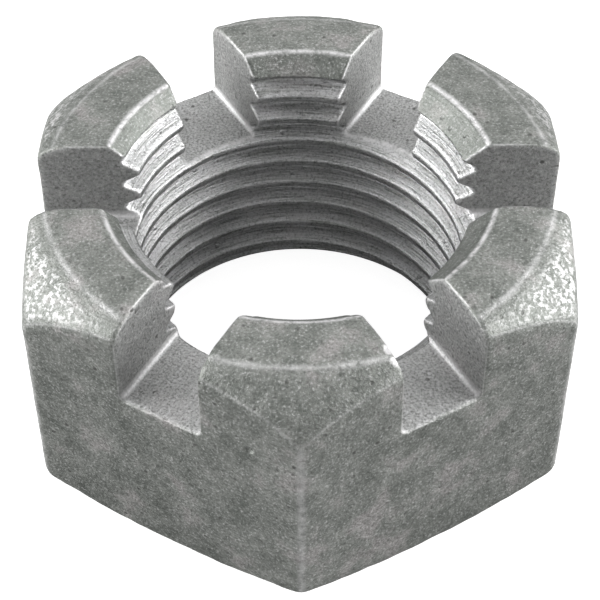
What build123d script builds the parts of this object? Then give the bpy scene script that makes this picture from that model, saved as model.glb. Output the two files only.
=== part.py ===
"""Slotted hexagon nut (castle nut): one forged and machined steel piece, in millimetres.

The origin is the centre of the bearing face and +Z runs up the thread axis to the castellated
end. The flats, with a slot through the middle of each, face 0, 60, 120 ... degrees, and the six
teeth stand on the corners between them.
"""

import os
from math import ceil, hypot, radians, sqrt, tan

from build123d import *

# hexagon, with a slot through each flat and a tooth on each corner
side_count = 6
across_flats = 36.5
height = 20.4
corner_radius = 1.0  # rounding of the upright corners

# cones turned on both ends, each given by its flat circle and its slope from the horizontal
crown_circle = 34.9
crown_slope = 38.0
bearing_circle = 36.3
bearing_slope = 22.0
ridge_radius = 0.8  # rounding where a cone meets its end face
forged_edge = 0.45  # rounding where a cone meets the flats

# slots for the split pin
slot_width = 6.0
slot_depth = 6.6
slot_foot = 0.4  # rounding along the foot of each slot wall
tooth_edge = 0.3  # worn rounding along the upper edges of each slot wall

# right-hand unified fine thread, 1 inch by 12 to the inch
thread_major = 25.4
threads_per_inch = 12
thread_angle = 60.0
thread_start = 1.2  # height of the lowest groove's middle where it passes the corner at 30 degrees

# countersinks at both ends of the thread, given by the circle of their mouth and their whole angle
mouth_circle = 26.9
sink_angle = 90.0

# sizes that follow from those above
across_corners = across_flats / (sqrt(3) / 2)
half_step = 180 / side_count  # degrees from a flat to the corner beside it
slot_floor = height - slot_depth
pitch = 25.4 / threads_per_inch
flank_slope = tan(radians(thread_angle / 2))
sharp_depth = pitch / (2 * flank_slope)  # height of the full triangle between two flanks
bore_radius = (thread_major - 1.25 * sharp_depth) / 2
sink_depth = (mouth_circle / 2 - bore_radius) / tan(radians(sink_angle / 2))
overrun = 1.0  # how far a cutter runs past the face that it cuts


def cone_rise(circle: float, slope: float, reach: float) -> float:
    """Height that a cone gains between its flat circle and a radius further out."""
    return (reach - circle / 2) * tan(radians(slope))


def off_axis(point: Vector) -> float:
    """Distance of a point from the thread axis."""
    return hypot(point.X, point.Y)


# cutter for one straight pass through two opposite flats
with BuildPart() as slot_cutter:
    with BuildSketch(Plane.YZ):
        with Locations((0, slot_floor)):
            Rectangle(slot_width, slot_depth + overrun, align=(Align.CENTER, Align.MIN))
        fillet(vertices().group_by(Axis.Y)[0], slot_foot)
    extrude(amount=across_corners / 2, both=True)

# cutter for one turn of the thread groove, from just inside the bore wall to the root
with BuildPart() as groove_cutter:
    root_radius = thread_major / 2
    inner_radius = bore_radius - pitch / 20
    root_half = pitch / 16
    inner_half = root_half + (root_radius - inner_radius) * flank_slope
    with BuildLine():
        one_turn = Helix(pitch, pitch, bore_radius)
    with BuildSketch(Plane.XZ):
        with BuildLine():
            Polyline(
                (inner_radius, -inner_half),
                (root_radius, -root_half),
                (root_radius, root_half),
                (inner_radius, inner_half),
                close=True,
            )
        make_face()
    sweep(path=one_turn, is_frenet=True)

# heights at which the turns start, one pitch apart, from below the bearing face to above the crown
lowest_turn = thread_start - ceil(thread_start / pitch + 1) * pitch
turn_count = ceil((height - lowest_turn) / pitch + 1)
turn_heights = [lowest_turn + turn * pitch for turn in range(turn_count)]
turn_starts = [Location((0, 0, level), (0, 0, half_step)) for level in turn_heights]

with BuildPart() as castle_nut:
    # hexagon blank
    with BuildSketch():
        RegularPolygon(across_flats / 2, side_count, major_radius=False, rotation=half_step)
        fillet(vertices(), corner_radius)
    extrude(amount=height)

    # both ends turned down to cones, which leaves a curved edge on each flat
    rim = across_corners / 2 + overrun
    with BuildSketch(Plane.XZ):
        with BuildLine():
            Polyline(
                (0, 0),
                (bearing_circle / 2, 0),
                (rim, cone_rise(bearing_circle, bearing_slope, rim)),
                (rim, height - cone_rise(crown_circle, crown_slope, rim)),
                (crown_circle / 2, height),
                (0, height),
                close=True,
            )
        make_face()
        for ridge in ((bearing_circle / 2, 0), (crown_circle / 2, height)):
            fillet(vertices().sort_by_distance(ridge)[0], ridge_radius)
    revolve(axis=Axis.Z, mode=Mode.INTERSECT)
    rising = edges().filter_by(lambda edge: edge.bounding_box().size.Z > overrun / 1000)
    fillet(rising.filter_by(GeomType.LINE, reverse=True), forged_edge)

    # bore at the thread's minor diameter, countersunk at both ends
    with BuildSketch(Plane.XZ):
        with BuildLine():
            Polyline(
                (0, 0),
                (mouth_circle / 2, 0),
                (bore_radius, sink_depth),
                (bore_radius, height - sink_depth),
                (mouth_circle / 2, height),
                (0, height),
                close=True,
            )
        make_face()
    revolve(axis=Axis.Z, mode=Mode.SUBTRACT)

    # slots, milled straight across, with the upper edges of their walls worn round
    with PolarLocations(0, side_count // 2, angular_range=180):
        add(slot_cutter.part, mode=Mode.SUBTRACT)
    upright = faces().filter_by(GeomType.PLANE).filter_by(lambda face: abs(face.normal_at().Z) < 0.001)
    slot_walls = upright.filter_by(lambda face: face.bounding_box().min.Z > slot_floor)
    wall_edges = ShapeList(edge for wall in slot_walls for edge in wall.edges())
    upper_edges = wall_edges.filter_by(lambda edge: edge.bounding_box().min.Z > height - slot_depth / 2)
    fillet(upper_edges.filter_by(lambda edge: off_axis(edge.center()) > mouth_circle / 2), tooth_edge)

    # thread groove, one turn above another
    with Locations(*turn_starts):
        add(groove_cutter.part, mode=Mode.SUBTRACT)

castle_nut.part.label = "castle_nut"
os.makedirs("parts", exist_ok=True)
export_step(castle_nut.part, "parts/castle_nut.step")
print(f"castle_nut: {castle_nut.part.volume:.0f} mm3, bore radius {bore_radius:.4f} mm")
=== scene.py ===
"""Looks of the castle nut: one forged and turned steel nut with six slots, on a pale studio floor."""

import logging
import math
from dataclasses import dataclass, field
from typing import Callable, List, Sequence, Tuple, Union

import bpy
from mathutils import Matrix, Vector


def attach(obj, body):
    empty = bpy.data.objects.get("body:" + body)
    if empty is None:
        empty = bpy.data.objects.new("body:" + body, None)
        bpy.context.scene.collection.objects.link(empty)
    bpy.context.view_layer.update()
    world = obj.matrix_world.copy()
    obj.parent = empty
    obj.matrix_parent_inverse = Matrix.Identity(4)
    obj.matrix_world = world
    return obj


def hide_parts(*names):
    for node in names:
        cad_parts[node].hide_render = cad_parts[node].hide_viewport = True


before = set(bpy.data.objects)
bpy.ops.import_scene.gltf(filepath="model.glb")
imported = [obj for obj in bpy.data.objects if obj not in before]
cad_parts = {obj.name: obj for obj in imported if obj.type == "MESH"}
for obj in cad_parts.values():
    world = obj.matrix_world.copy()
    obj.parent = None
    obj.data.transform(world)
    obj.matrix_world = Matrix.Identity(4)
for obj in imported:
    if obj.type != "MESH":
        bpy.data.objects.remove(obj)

log = logging.getLogger("castle_nut")

MILLIMETRE = 0.001
ROUNDING = 2.5  # blend width for each unit of edge radius
SIDE_TURN = math.radians(60)
Triple = Tuple[float, float, float]
Socket = bpy.types.NodeSocket
Number = Union[float, "Quantity"]


# ---------------------------------------------------------------- node arithmetic


class Bench:
    """Lays nodes into one tree, in a shape tree and a finish tree alike."""

    def __init__(self, tree: bpy.types.NodeTree) -> None:
        """Keep the tree that the nodes go into."""
        self.tree = tree

    def node(self, kind: str, **settings: object) -> bpy.types.Node:
        """Add one node.

        Args:
            kind: the node's type name.
            settings: properties of the node, by name.

        Returns:
            The node.
        """
        made = self.tree.nodes.new(kind)
        for name, value in settings.items():
            setattr(made, name, value)
        return made

    def feed(self, socket: Socket, value: object) -> None:
        """Set a socket to a plain value, or link it to another socket or quantity."""
        if isinstance(value, Quantity):
            value = value.value
        if isinstance(value, bpy.types.NodeSocket):
            self.tree.links.new(value, socket)
        else:
            socket.default_value = value

    def number(self, value: Union[float, Socket]) -> "Quantity":
        """Wrap a plain number or a socket as a quantity."""
        return Quantity(self, value)

    def split(self, vector: Socket) -> Tuple["Quantity", "Quantity", "Quantity"]:
        """Return the three components of a vector socket."""
        parts = self.node("ShaderNodeSeparateXYZ")
        self.tree.links.new(vector, parts.inputs[0])
        return tuple(self.number(parts.outputs[i]) for i in range(3))

    def join(self, x: Number, y: Number, z: Number) -> Socket:
        """Return a vector socket made of three numbers."""
        made = self.node("ShaderNodeCombineXYZ")
        for socket, value in zip(made.inputs, (x, y, z)):
            self.feed(socket, value)
        return made.outputs[0]

    def vector(self, operation: str, *operands: object) -> Socket:
        """Return the vector that a vector operation gives."""
        made = self.node("ShaderNodeVectorMath", operation=operation)
        for socket, value in zip(made.inputs, operands):
            self.feed(socket, value)
        return made.outputs[0]

    def scaled(self, vector: Socket, factor: float) -> Socket:
        """Return a vector made longer by a factor."""
        made = self.node("ShaderNodeVectorMath", operation="SCALE")
        self.feed(made.inputs[0], vector)
        made.inputs["Scale"].default_value = factor
        return made.outputs[0]

    def noise(self, place: Socket, scale: float, detail: float = 2.0,
              roughness: float = 0.5) -> "Quantity":
        """Return a cloud pattern, about 0 to 1, at a place.

        Args:
            place: vector socket that the pattern reads.
            scale: cells per unit length.
            detail: octaves.
            roughness: strength of the finer octaves.

        Returns:
            The pattern's value.
        """
        made = self.node("ShaderNodeTexNoise")
        self.feed(made.inputs["Vector"], place)
        made.inputs["Scale"].default_value = scale
        made.inputs["Detail"].default_value = detail
        made.inputs["Roughness"].default_value = roughness
        return self.number(made.outputs[0])

    def cells(self, place: Socket, scale: float) -> "Quantity":
        """Return the distance to the nearest of scattered points, in cells."""
        made = self.node("ShaderNodeTexVoronoi")
        self.feed(made.inputs["Vector"], place)
        made.inputs["Scale"].default_value = scale
        return self.number(made.outputs["Distance"])

    def mix(self, factor: Number, a: object, b: object) -> Socket:
        """Return colour a going over to colour b with a factor."""
        made = self.node("ShaderNodeMix", data_type="RGBA")
        self.feed(made.inputs[0], factor)
        self.feed(made.inputs[6], a if isinstance(a, bpy.types.NodeSocket) else (*a, 1.0))
        self.feed(made.inputs[7], b if isinstance(b, bpy.types.NodeSocket) else (*b, 1.0))
        return made.outputs[2]


class Quantity:
    """A number in a node tree, with ordinary arithmetic."""

    def __init__(self, bench: Bench, value: Union[float, Socket]) -> None:
        """Keep the tree's bench and the number or socket."""
        self.bench = bench
        self.value = value

    def apply(self, operation: str, *others: Number) -> "Quantity":
        """Return what a maths node makes of this number and the others."""
        made = self.bench.node("ShaderNodeMath", operation=operation)
        for socket, value in zip(made.inputs, (self, *others)):
            self.bench.feed(socket, value)
        return Quantity(self.bench, made.outputs[0])

    def __add__(self, other: Number) -> "Quantity":
        """Return the sum."""
        return self.apply("ADD", other)

    __radd__ = __add__

    def __sub__(self, other: Number) -> "Quantity":
        """Return the difference."""
        return self.apply("SUBTRACT", other)

    def __rsub__(self, other: float) -> "Quantity":
        """Return a plain number less this one."""
        return Quantity(self.bench, float(other)).apply("SUBTRACT", self)

    def __mul__(self, other: Number) -> "Quantity":
        """Return the product."""
        return self.apply("MULTIPLY", other)

    __rmul__ = __mul__

    def __truediv__(self, other: Number) -> "Quantity":
        """Return the quotient."""
        return self.apply("DIVIDE", other)

    def __neg__(self) -> "Quantity":
        """Return the number with its sign turned."""
        return self.apply("MULTIPLY", -1.0)

    def __abs__(self) -> "Quantity":
        """Return the size of the number."""
        return self.apply("ABSOLUTE")

    def most(self, other: Number) -> "Quantity":
        """Return the larger of two."""
        return self.apply("MAXIMUM", other)

    def least(self, other: Number) -> "Quantity":
        """Return the smaller of two."""
        return self.apply("MINIMUM", other)

    def soft_most(self, other: Number, radius: Number) -> "Quantity":
        """Return the larger of two, rounded over where they meet by about this radius."""
        return self.apply("SMOOTH_MAX", other, radius * ROUNDING)

    def soft_least(self, other: Number, radius: Number) -> "Quantity":
        """Return the smaller of two, rounded in where they meet by about this radius."""
        return self.apply("SMOOTH_MIN", other, radius * ROUNDING)

    def band(self, low: float, high: float) -> "Quantity":
        """Return 0 below the low value, 1 above the high one and a smooth rise between."""
        made = self.bench.node("ShaderNodeMapRange", interpolation_type="SMOOTHSTEP")
        self.bench.feed(made.inputs["Value"], self)
        made.inputs["From Min"].default_value = low
        made.inputs["From Max"].default_value = high
        return Quantity(self.bench, made.outputs[0])

    def stretch(self, low: float, high: float, start: float, end: float) -> "Quantity":
        """Return the number carried from one range to another and held within it."""
        made = self.bench.node("ShaderNodeMapRange", clamp=True)
        self.bench.feed(made.inputs["Value"], self)
        for name, value in zip(("From Min", "From Max", "To Min", "To Max"), (low, high, start, end)):
            made.inputs[name].default_value = value
        return Quantity(self.bench, made.outputs[0])


def length(a: Quantity, b: Quantity) -> Quantity:
    """Return the length of a vector with these two components."""
    return (a * a + b * b).apply("SQRT")


# ---------------------------------------------------------------- form of the nut


@dataclass
class Walls:
    """Heights of a point over each surface of the nut: below 0 inside the steel, above 0 in the air."""

    sides: Quantity
    neighbour: Quantity
    crown: Quantity
    top: Quantity
    bearing_cone: Quantity
    bearing: Quantity
    slot: Quantity
    slot_wall: Quantity
    slot_floor: Quantity
    crest: Quantity
    thread: Quantity
    upper_sink: Quantity
    lower_sink: Quantity
    radius: Quantity
    angle: Quantity
    across: Quantity


@dataclass(frozen=True)
class Dent:
    """A small knock in an edge, as a ragged hollow."""

    centre: Triple
    radius: float

    def depth(self, bench: Bench, place: Socket) -> Quantity:
        """Return how far a place is inside the hollow."""
        gap = bench.node("ShaderNodeVectorMath", operation="DISTANCE")
        bench.feed(gap.inputs[0], place)
        gap.inputs[1].default_value = self.centre
        ragged = bench.noise(place, 1.6, 2.0) * self.radius * 0.9
        return self.radius * 1.3 - ragged - bench.number(gap.outputs["Value"])


@dataclass
class NutForm:
    """Sizes of the nut in millimetres, and the rules that shape it."""

    across_flats: float = 36.5
    height: float = 20.4
    corner_radius: float = 1.0
    crown_circle: float = 34.9
    crown_slope: float = 38.0
    ridge_radius: float = 0.55
    bearing_circle: float = 36.3
    bearing_slope: float = 22.0
    forged_edge: float = 0.3
    slot_width: float = 6.0
    slot_depth: float = 6.6
    slot_foot: float = 0.4
    tooth_edge: float = 0.2
    rim_edge: float = 0.16
    thread_major: float = 25.4
    thread_pitch: float = 25.4 / 12
    crest_radius: float = 11.5543
    thread_start: float = 1.2
    thread_crest_edge: float = 0.09
    thread_root_edge: float = 0.12
    mouth_circle: float = 26.9
    crown_offset: float = 0.22
    forging_height: float = 0.09
    dents: Tuple[Dent, ...] = (
        Dent((6.1, -16.6, 20.4), 0.62), Dent((5.6, -15.6, 20.5), 0.45), Dent((-6.3, 17.6, 19.9), 0.35),
        Dent((-6.0, 16.4, 20.5), 0.35), Dent((3.1, -18.6, 19.9), 0.3), Dent((-14.6, -10.6, 20.6), 0.3),
        Dent((-3.3, -19.2, 14.6), 0.35), Dent((12.9, -13.9, 13.8), 0.4), Dent((7.2, 10.0, 12.4), 0.45),
    )

    def walls(self, bench: Bench, place: Socket) -> Walls:
        """Measure a point against every surface of the nut.

        Args:
            bench: the tree's bench.
            place: the point, in millimetres.

        Returns:
            The point's height over each surface.
        """
        x, y, z = bench.split(place)
        radius = length(x, y)
        angle = y.apply("ARCTAN2", x)
        side = (angle / SIDE_TURN).apply("ROUND")
        turn = angle - side * SIDE_TURN
        out = radius * turn.apply("COSINE")
        across = abs(radius * turn.apply("SINE"))
        half = self.across_flats / 2
        core = half - self.corner_radius
        corner = core * math.tan(math.radians(30))
        over, past = out - core, across - corner
        sides = length(over.most(0.0), past.most(0.0)) + over.least(0.0) - self.corner_radius
        neighbour = out * 0.5 + across * math.sin(SIDE_TURN) - half

        slope = math.radians(self.crown_slope)
        off_axis = length(x, y - self.crown_offset)
        drop = (off_axis - 19.6).most(0.0)
        crown = ((off_axis - self.crown_circle / 2) * math.sin(slope) + (z - self.height) * math.cos(slope)
                 + drop * drop * 0.28)
        slope = math.radians(self.bearing_slope)
        bearing_cone = (radius - self.bearing_circle / 2) * math.sin(slope) - z * math.cos(slope)

        slot_wall = across - self.slot_width / 2
        floor = self.height - self.slot_depth
        wall_in, floor_in = slot_wall + self.slot_foot, floor + self.slot_foot - z
        slot = -(length(wall_in.most(0.0), floor_in.most(0.0)) + wall_in.most(floor_in).least(0.0)
                 - self.slot_foot)

        crest = self.crest_radius - radius
        pitch = self.thread_pitch
        start = self.thread_start + pitch * (0.5 - 30 / 360)
        climb = z - angle * (pitch / math.tau) - start
        middle = abs(climb.apply("FLOORED_MODULO", pitch) - pitch / 2)
        flank = (middle - pitch / 16 - (self.thread_major / 2 - radius) * math.tan(math.radians(30))) \
            * math.cos(math.radians(30))
        root = self.thread_major / 2 - radius
        groove = root.soft_least(-flank, self.thread_root_edge)
        thread = crest.soft_most(groove, self.thread_crest_edge)

        lean = math.cos(math.radians(45))
        upper = (z - (self.height - self.mouth_circle / 2) - radius) * lean
        lower = (self.mouth_circle / 2 - radius - z) * lean
        return Walls(sides, neighbour, crown, z - self.height, bearing_cone, -z, slot, slot_wall, z - floor,
                     crest, thread, upper, lower, radius, angle, across)

    def surface(self, bench: Bench, place: Socket) -> Quantity:
        """Return the height of a point over the finished nut, with its rounded and worn edges.

        Args:
            bench: the tree's bench.
            place: the point, in millimetres.

        Returns:
            Height over the steel, below 0 inside it.
        """
        walls = self.walls(bench, place)
        uneven = bench.noise(place, 0.55, 1.0)
        wear_and_highlight = 0.7 + uneven * 0.8
        body = walls.sides.soft_most(walls.crown, wear_and_highlight * self.forged_edge)
        body = body.soft_most(walls.bearing_cone, wear_and_highlight * self.forged_edge * 1.3)
        body = body.soft_most(walls.bearing, 0.3)
        body = body.soft_most(walls.top, wear_and_highlight * self.ridge_radius)
        near_top = (walls.top + 1.2).stretch(0.0, 1.2, 1.0, 0.5)
        forged = bench.noise(place, 0.3, 3.0, 0.55) * self.forging_height * near_top
        body = body + forged * (walls.radius - 15.0).band(0.0, 2.5)
        body = body.soft_most(walls.slot, wear_and_highlight * self.tooth_edge)
        bore = walls.thread.soft_most(walls.upper_sink, 0.12).soft_most(walls.lower_sink, 0.12)
        steel = body.soft_most(bore, wear_and_highlight * self.rim_edge)
        for dent in self.dents:
            steel = steel.soft_most(dent.depth(bench, place), 0.1)
        return steel


class Pressing:
    """Turns a nut's form into a closed mesh through a shape tree."""

    share: float = 0.57  # part of the triangles kept once the surface is found

    def __init__(self, form: NutForm, voxel: float) -> None:
        """Keep the form and the size of the measuring grid, in millimetres."""
        self.form = form
        self.voxel = voxel

    def rule(self) -> bpy.types.NodeTree:
        """Return a group that gives the height over the nut at any place."""
        tree = bpy.data.node_groups.new("nut_rule", "GeometryNodeTree")
        tree.interface.new_socket("Place", in_out="INPUT", socket_type="NodeSocketVector")
        tree.interface.new_socket("Height", in_out="OUTPUT", socket_type="NodeSocketFloat")
        bench = Bench(tree)
        entry, way_out = bench.node("NodeGroupInput"), bench.node("NodeGroupOutput")
        bench.feed(way_out.inputs["Height"], self.form.surface(bench, entry.outputs["Place"]))
        return tree

    def tree(self, finish: bpy.types.Material) -> bpy.types.NodeTree:
        """Return the shape tree: a measured block, its surface, and that surface drawn onto the rule.

        Args:
            finish: the material set on the result.

        Returns:
            The tree, with named inputs for its sizes.
        """
        rule = self.rule()
        tree = bpy.data.node_groups.new("castle_nut", "GeometryNodeTree")
        for name, kind in (("Low corner", "NodeSocketVector"), ("High corner", "NodeSocketVector"),
                           ("Steps across", "NodeSocketInt"), ("Steps along", "NodeSocketInt"),
                           ("Steps up", "NodeSocketInt")):
            tree.interface.new_socket(name, in_out="INPUT", socket_type=kind)
        tree.interface.new_socket("Nut", in_out="OUTPUT", socket_type="NodeSocketGeometry")
        bench = Bench(tree)
        entry, way_out = bench.node("NodeGroupInput"), bench.node("NodeGroupOutput")

        def height(place: Socket) -> Quantity:
            """Return the rule's height at a place."""
            group = bench.node("GeometryNodeGroup", node_tree=rule)
            bench.feed(group.inputs["Place"], place)
            return bench.number(group.outputs["Height"])

        here = bench.node("GeometryNodeInputPosition").outputs[0]
        block = bench.node("GeometryNodeVolumeCube")
        bench.feed(block.inputs["Density"], -height(here))
        block.inputs["Background"].default_value = -1.0
        for socket, name in (("Min", "Low corner"), ("Max", "High corner"), ("Resolution X", "Steps across"),
                             ("Resolution Y", "Steps along"), ("Resolution Z", "Steps up")):
            bench.feed(block.inputs[socket], entry.outputs[name])
        skin = bench.node("GeometryNodeVolumeToMesh", resolution_mode="GRID")
        bench.feed(skin.inputs["Volume"], block.outputs[0])
        skin.inputs["Threshold"].default_value = 0.0
        skin.inputs["Adaptivity"].default_value = 0.0

        mesh = skin.outputs[0]
        for _ in range(2):
            level, slope = self.gradient(bench, here, height)
            place = bench.node("GeometryNodeSetPosition")
            bench.feed(place.inputs["Geometry"], mesh)
            pull = bench.node("ShaderNodeVectorMath", operation="SCALE")
            bench.feed(pull.inputs[0], slope)
            bench.feed(pull.inputs["Scale"], (-level).most(-0.08).least(0.08))
            bench.feed(place.inputs["Offset"], pull.outputs[0])
            mesh = place.outputs[0]
        _, slope = self.gradient(bench, here, height)
        shade = bench.node("GeometryNodeStoreNamedAttribute", data_type="FLOAT_VECTOR", domain="POINT")
        bench.feed(shade.inputs["Geometry"], mesh)
        shade.inputs["Name"].default_value = "lie"
        bench.feed(shade.inputs["Value"], slope)
        size = bench.node("GeometryNodeTransform")
        bench.feed(size.inputs["Geometry"], shade.outputs[0])
        size.inputs["Scale"].default_value = (MILLIMETRE,) * 3
        smooth = bench.node("GeometryNodeSetShadeSmooth")
        bench.feed(smooth.inputs[0], size.outputs[0])
        whole = bench.node("GeometryNodeRealizeInstances")
        bench.feed(whole.inputs[0], smooth.outputs[0])
        dress = bench.node("GeometryNodeSetMaterial")
        bench.feed(dress.inputs["Geometry"], whole.outputs[0])
        dress.inputs["Material"].default_value = finish
        bench.feed(way_out.inputs["Nut"], dress.outputs[0])
        return tree

    @staticmethod
    def gradient(bench: Bench, here: Socket, height: Callable[[Socket], Quantity]) -> Tuple[Quantity, Socket]:
        """Return the height at a place and the direction straight out of the surface there."""
        step = 0.02
        slopes = []
        for axis in ((step, 0.0, 0.0), (0.0, step, 0.0), (0.0, 0.0, step)):
            ahead, behind = bench.vector("ADD", here, axis), bench.vector("SUBTRACT", here, axis)
            slopes.append(height(ahead) - height(behind))
        return height(here), bench.vector("NORMALIZE", bench.join(*slopes))

    def mesh(self, name: str, finish: bpy.types.Material) -> bpy.types.Object:
        """Press the nut into a plain mesh object.

        Args:
            name: the piece's name.
            finish: its material.

        Returns:
            The piece, at the origin, in metres.
        """
        form = self.form
        reach = Vector((form.across_flats / 2, form.across_flats / math.sqrt(3), 0)) + Vector((0.5, 0.5, 0.5))
        low = Vector((-reach.x, -reach.y, -0.5))
        high = Vector((reach.x, reach.y, form.height + 0.5))
        steps = [int(math.ceil((high[i] - low[i]) / self.voxel)) + 1 for i in range(3)]
        tree = self.tree(finish)
        blank = bpy.data.objects.new(name + "_blank", bpy.data.meshes.new(name + "_blank"))
        bpy.context.scene.collection.objects.link(blank)
        press = blank.modifiers.new("press", "NODES")
        press.node_group = tree
        values = {"Low corner": tuple(low), "High corner": tuple(high), "Steps across": steps[0],
                  "Steps along": steps[1], "Steps up": steps[2]}
        for item in tree.interface.items_tree:
            if item.in_out == "INPUT":
                press[item.identifier] = values[item.name]
        thin = blank.modifiers.new("thin", "DECIMATE")
        thin.ratio = self.share
        depsgraph = bpy.context.evaluated_depsgraph_get()
        made = bpy.data.meshes.new_from_object(blank.evaluated_get(depsgraph))
        bpy.data.objects.remove(blank)
        made.name = name
        log.info("%s: %d triangles pressed", name, sum(len(p.vertices) - 2 for p in made.polygons))
        made.normals_split_custom_set_from_vertices([item.vector for item in made.attributes["lie"].data])
        made.attributes.remove(made.attributes["lie"])
        piece = bpy.data.objects.new(name, made)
        bpy.context.scene.collection.objects.link(piece)
        return piece


# ---------------------------------------------------------------- finish


@dataclass(frozen=True)
class BareSteel:
    """Dull bare steel: forged outside, cut in the slots, turned in the mouth and the thread."""

    form: NutForm
    name: str = "bare_steel"
    dark: Triple = (0.165, 0.178, 0.163)
    pale: Triple = (0.41, 0.42, 0.4)
    warm: Triple = (0.44, 0.405, 0.41)
    cut: Triple = (0.5, 0.5, 0.5)
    turned: Triple = (0.68, 0.68, 0.69)
    # bright steel: the colour of worn grain specks and knocked dents, and of the painted highlights on the
    # edges
    worn_and_highlight: Triple = (0.86, 0.85, 0.86)
    pit: Triple = (0.1, 0.1, 0.095)
    patch_scale: float = 0.3
    blotch_scale: float = 1.1
    grain_scale: float = 5.5
    speck_scale: float = 2.8
    pit_scale: float = 0.9

    def material(self) -> bpy.types.Material:
        """Return the finish as a material."""
        made = bpy.data.materials.new(self.name)
        made.use_nodes = True
        made.node_tree.nodes.clear()
        bench = Bench(made.node_tree)
        output = bench.node("ShaderNodeOutputMaterial")
        skin = bench.node("ShaderNodeBsdfPrincipled")
        bench.feed(output.inputs["Surface"], skin.outputs[0])
        skin.inputs["Metallic"].default_value = 1.0
        place = bench.scaled(bench.node("ShaderNodeTexCoord").outputs["Object"], 1 / MILLIMETRE)
        walls = self.form.walls(bench, place)

        patches = bench.noise(place, self.patch_scale, 5.0, 0.6)
        blotch = bench.noise(place, self.blotch_scale, 4.0, 0.65)
        grain = bench.noise(place, self.grain_scale, 3.0, 0.7)
        speck = bench.noise(place, self.speck_scale, 2.0, 0.6)
        pits = bench.cells(place, self.pit_scale).band(0.2, 0.07) * blotch.band(0.4, 0.6)

        outside = (walls.radius - 13.2).band(0.0, 0.5)
        in_slot = (walls.slot + 0.12).band(0.0, 0.1)
        on_floor = (0.3 - abs(walls.slot_floor)).band(0.0, 0.15) * in_slot
        threaded = (13.0 - walls.radius).band(0.0, 0.25) * (1.0 - in_slot) \
            * (walls.upper_sink + 0.15).band(0.12, 0.0)
        sunk = (walls.upper_sink + 0.15).band(0.0, 0.12) * (1.0 - in_slot) * (walls.top + 0.1).band(0.1, 0.0)

        x, y, z = bench.split(place)
        along_thread = bench.join(walls.angle * 1.6, z * 3.2, walls.radius * 6.0)
        streaks = bench.noise(along_thread, 1.6, 3.0, 0.6)
        rings = bench.noise(bench.join(walls.radius * 7.0, walls.angle * 0.5, 0.0), 1.0, 2.0, 0.6)
        brushed = bench.noise(bench.join(walls.across * 6.0, walls.radius * 0.5, walls.angle), 1.0, 3.0, 0.6)

        mottle = (patches - 0.5) * 1.5 + (blotch - 0.5) * 1.35 + 0.46
        colour = bench.mix(mottle.most(0.0).least(1.0), self.dark, self.pale)
        colour = bench.mix(patches.band(0.52, 0.66) * 0.45, colour, self.warm)
        colour = bench.mix(in_slot * 0.6, colour, self.cut)
        # painted shade: the countersunk mouth of the bore is darkened
        colour = bench.mix(sunk * 0.45, colour, self.dark)
        scuffed = (brushed * 0.5 + grain * 0.6).band(0.42, 0.75)
        colour = bench.mix(on_floor * scuffed * 0.6, colour, self.turned)
        colour = bench.mix(threaded * streaks.band(0.25, 0.62) * 0.85, colour, self.turned)
        colour = bench.mix(grain.band(0.52, 0.3) * 0.62, colour, self.pit)
        colour = bench.mix(grain.band(0.52, 0.72) * 0.42, colour, self.worn_and_highlight)
        colour = bench.mix(pits * outside * 0.8, colour, self.pit)

        # noise that makes the painted edge highlights stronger in some places and weaker in others
        highlight_breakup = (blotch * 0.55 + speck * 0.6).band(0.38, 0.66)
        # painted highlights along the rounded edges: bore rim, tooth shoulders, ridge between top and crown,
        # hex corners, eaves, slot heels and slot lips
        rim = walls.top.least(walls.upper_sink).band(-0.24, -0.03) * 0.95
        shoulder = walls.slot.least(walls.top.most(walls.crown)).band(-0.2, -0.02) * 0.8
        ridge = walls.top.least(walls.crown).band(-0.42, -0.1) * 0.95
        corner = walls.sides.least(walls.neighbour).band(-0.5, -0.1) * 0.38
        eaves = walls.sides.least(walls.crown).band(-0.3, -0.04) * 0.5
        heel = walls.slot.least(walls.sides).band(-0.22, -0.02) * 0.6
        lip = walls.slot.least(walls.thread.most(walls.upper_sink)).band(-0.2, -0.03) * 0.8
        # painted highlight in the rounded foot of each slot wall, next to the slot floor
        by_floor = (0.42 - abs(walls.slot_floor - 0.25)).band(0.0, 0.3)
        foot = by_floor * (walls.slot_wall + 0.35).band(0.0, 0.2) * in_slot * 0.45
        # painted glints: bright specks on the crown chamfer only where it faces the left and right lamps
        crown_glints = (walls.crown + 0.15).band(0.0, 0.1) * abs(walls.angle.apply("COSINE")).band(0.55, 0.95) \
            * speck.band(0.46, 0.62) * 0.55 * (1.0 - in_slot)
        edges = rim.most(shoulder).most(ridge).most(corner).most(eaves).most(heel).most(lip)
        # painted highlights and glints on the edges, joined with the real bright metal in the knocked dents
        wear_and_highlight = (edges * (0.28 + highlight_breakup * 0.85)).most(foot).most(crown_glints).least(1.0)
        knocked = self.form.dents[0].depth(bench, place).most(self.form.dents[1].depth(bench, place))
        wear_and_highlight = wear_and_highlight.most(knocked.band(-0.3, -0.05))
        # the painted edge highlights and the bright dents are mixed into the colour here
        colour = bench.mix(wear_and_highlight, colour, self.worn_and_highlight)
        bench.feed(skin.inputs["Base Color"], colour)

        rough = 0.64 + (blotch - 0.5) * 0.3 + (grain - 0.5) * 0.35 - wear_and_highlight * 0.1 - threaded * 0.2 - sunk * 0.05
        bench.feed(skin.inputs["Roughness"], rough.most(0.3).least(0.9))

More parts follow.
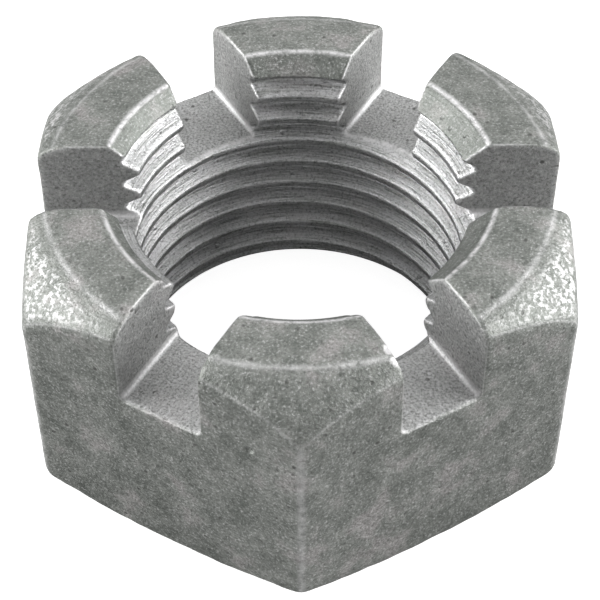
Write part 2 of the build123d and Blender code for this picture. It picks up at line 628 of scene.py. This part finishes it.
        relief = (grain - 0.5) * 0.05 + (speck - 0.5) * 0.03 * outside * (1.0 - in_slot * 0.6) - pits * 0.05
        relief = relief + (streaks - 0.5) * 0.035 * threaded + (rings - 0.5) * 0.03 * sunk
        relief = relief + (brushed - 0.5) * 0.015 * in_slot + (blotch - 0.5) * 0.1 * outside * (1.0 - in_slot)
        bump = bench.node("ShaderNodeBump")
        bump.inputs["Strength"].default_value = 1.0
        bump.inputs["Distance"].default_value = MILLIMETRE
        bench.feed(bump.inputs["Height"], relief)
        bench.feed(skin.inputs["Normal"], bump.outputs[0])
        return made


# ---------------------------------------------------------------- the nut


@dataclass
class CastleNut:
    """The nut as one piece."""

    form: NutForm = field(default_factory=NutForm)
    voxel: float = 0.215
    quick_voxel: float = 0.4

    def build(self) -> List[bpy.types.Object]:
        """Press the nut, dress it and tie it to its body."""
        voxel = self.voxel
        piece = Pressing(self.form, voxel).mesh("nut_body", BareSteel(self.form).material())
        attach(piece, "root")
        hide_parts("castle_nut")
        return [piece]


# ---------------------------------------------------------------- studio


@dataclass
class Studio:
    """A pale floor, soft lamps and the camera."""

    floor_size: float = 1.2
    distance: float = 0.12819
    azimuth: float = -0.249
    elevation: float = 46.465
    roll: float = -0.1625
    lens: float = 105.742
    target: Triple = (0.00003357, 0.0, 0.0081328)

    def build(self) -> None:
        """Set the floor, the lamps, the world, the camera and the view transform."""
        self.floor()
        self.lamps()
        self.world()
        self.camera()
        bpy.context.scene.view_settings.view_transform = "Standard"

    def floor(self) -> None:
        """Lay the floor."""
        half = self.floor_size / 2
        mesh = bpy.data.meshes.new("studio_floor")
        mesh.from_pydata([(-half, -half, 0), (half, -half, 0), (half, half, 0), (-half, half, 0)], [],
                         [(0, 1, 2, 3)])
        floor = bpy.data.objects.new("studio_floor", mesh)
        floor.location.z = -0.00002
        bpy.context.scene.collection.objects.link(floor)
        paint = bpy.data.materials.new("studio_paper")
        paint.use_nodes = True
        bench = Bench(paint.node_tree)
        paint.node_tree.nodes.clear()
        output = bench.node("ShaderNodeOutputMaterial")
        matt = bench.node("ShaderNodeBsdfDiffuse")
        matt.inputs["Color"].default_value = (0.5, 0.5, 0.5, 1)
        pale = bench.node("ShaderNodeEmission")
        pale.inputs["Strength"].default_value = 0.93
        both = bench.node("ShaderNodeAddShader")
        bench.feed(both.inputs[0], matt.outputs[0])
        bench.feed(both.inputs[1], pale.outputs[0])
        seen = bench.node("ShaderNodeMixShader")
        ray = bench.node("ShaderNodeLightPath")
        bench.feed(seen.inputs[0], bench.number(ray.outputs["Is Camera Ray"]))
        bench.feed(seen.inputs[1], matt.outputs[0])
        bench.feed(seen.inputs[2], both.outputs[0])
        under = bench.node("ShaderNodeMixShader")
        bench.feed(under.inputs[0], bench.number(bench.node("ShaderNodeNewGeometry").outputs["Backfacing"]))
        bench.feed(under.inputs[1], seen.outputs[0])
        bench.feed(under.inputs[2], bench.node("ShaderNodeBsdfTransparent").outputs[0])
        bench.feed(output.inputs["Surface"], under.outputs[0])
        mesh.materials.append(paint)

    def lamp(self, name: str, place: Triple, size: float, power: float) -> None:
        """Hang one square lamp aimed at the nut."""
        light = bpy.data.lights.new(name, "AREA")
        light.size = size
        light.energy = power
        lamp = bpy.data.objects.new(name, light)
        lamp.location = place
        aim = Vector((0, 0, 0.01)) - Vector(place)
        lamp.rotation_euler = aim.to_track_quat("-Z", "Y").to_euler()
        bpy.context.scene.collection.objects.link(lamp)

    def lamps(self) -> None:
        """Hang the lamps."""
        self.lamp("lamp_left", (-0.6, 0.0, 0.25), 0.4, 5.0)
        self.lamp("lamp_right", (0.6, 0.0, 0.25), 0.4, 5.4)
        self.lamp("lamp_back", (0.0, 0.5, 0.55), 0.6, 1.25)

    def world(self) -> None:
        """Light the room softly and show it white."""
        world = bpy.data.worlds.new("studio_air")
        bpy.context.scene.world = world
        world.use_nodes = True
        world.node_tree.nodes.clear()
        bench = Bench(world.node_tree)
        output = bench.node("ShaderNodeOutputWorld")
        air = bench.node("ShaderNodeBackground")
        air.inputs["Color"].default_value = (1, 1, 1, 1)
        ray = bench.node("ShaderNodeLightPath")
        bench.feed(air.inputs["Strength"], 0.45 + bench.number(ray.outputs["Is Camera Ray"]) * 0.55)
        bench.feed(output.inputs["Surface"], air.outputs[0])

    def camera(self) -> None:
        """Set the camera up."""
        azimuth, elevation, roll = (math.radians(v) for v in (self.azimuth, self.elevation, self.roll))
        back = Vector((math.sin(azimuth) * math.cos(elevation), -math.cos(azimuth) * math.cos(elevation),
                       math.sin(elevation)))
        right = Vector((math.cos(azimuth), math.sin(azimuth), 0))
        up = back.cross(right)
        tilted = right * math.cos(roll) + up * math.sin(roll)
        upright = back.cross(tilted)
        lens = bpy.data.cameras.new("studio_camera")
        lens.lens = self.lens
        lens.sensor_width = 36.0
        lens.clip_start = 0.005
        camera = bpy.data.objects.new("studio_camera", lens)
        place = Vector(self.target) + back * self.distance
        camera.matrix_world = Matrix((
            (tilted.x, upright.x, back.x, place.x), (tilted.y, upright.y, back.y, place.y),
            (tilted.z, upright.z, back.z, place.z), (0, 0, 0, 1)))
        bpy.context.scene.collection.objects.link(camera)
        bpy.context.scene.camera = camera


def main() -> None:
    """Build the nut and the studio, and report each piece."""
    logging.basicConfig(level=logging.INFO, format="%(name)s: %(message)s")
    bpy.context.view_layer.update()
    for piece in CastleNut().build():
        log.info("%s: %d faces", piece.name, len(piece.data.polygons))
    Studio().build()


if __name__ == "__main__":
    main()
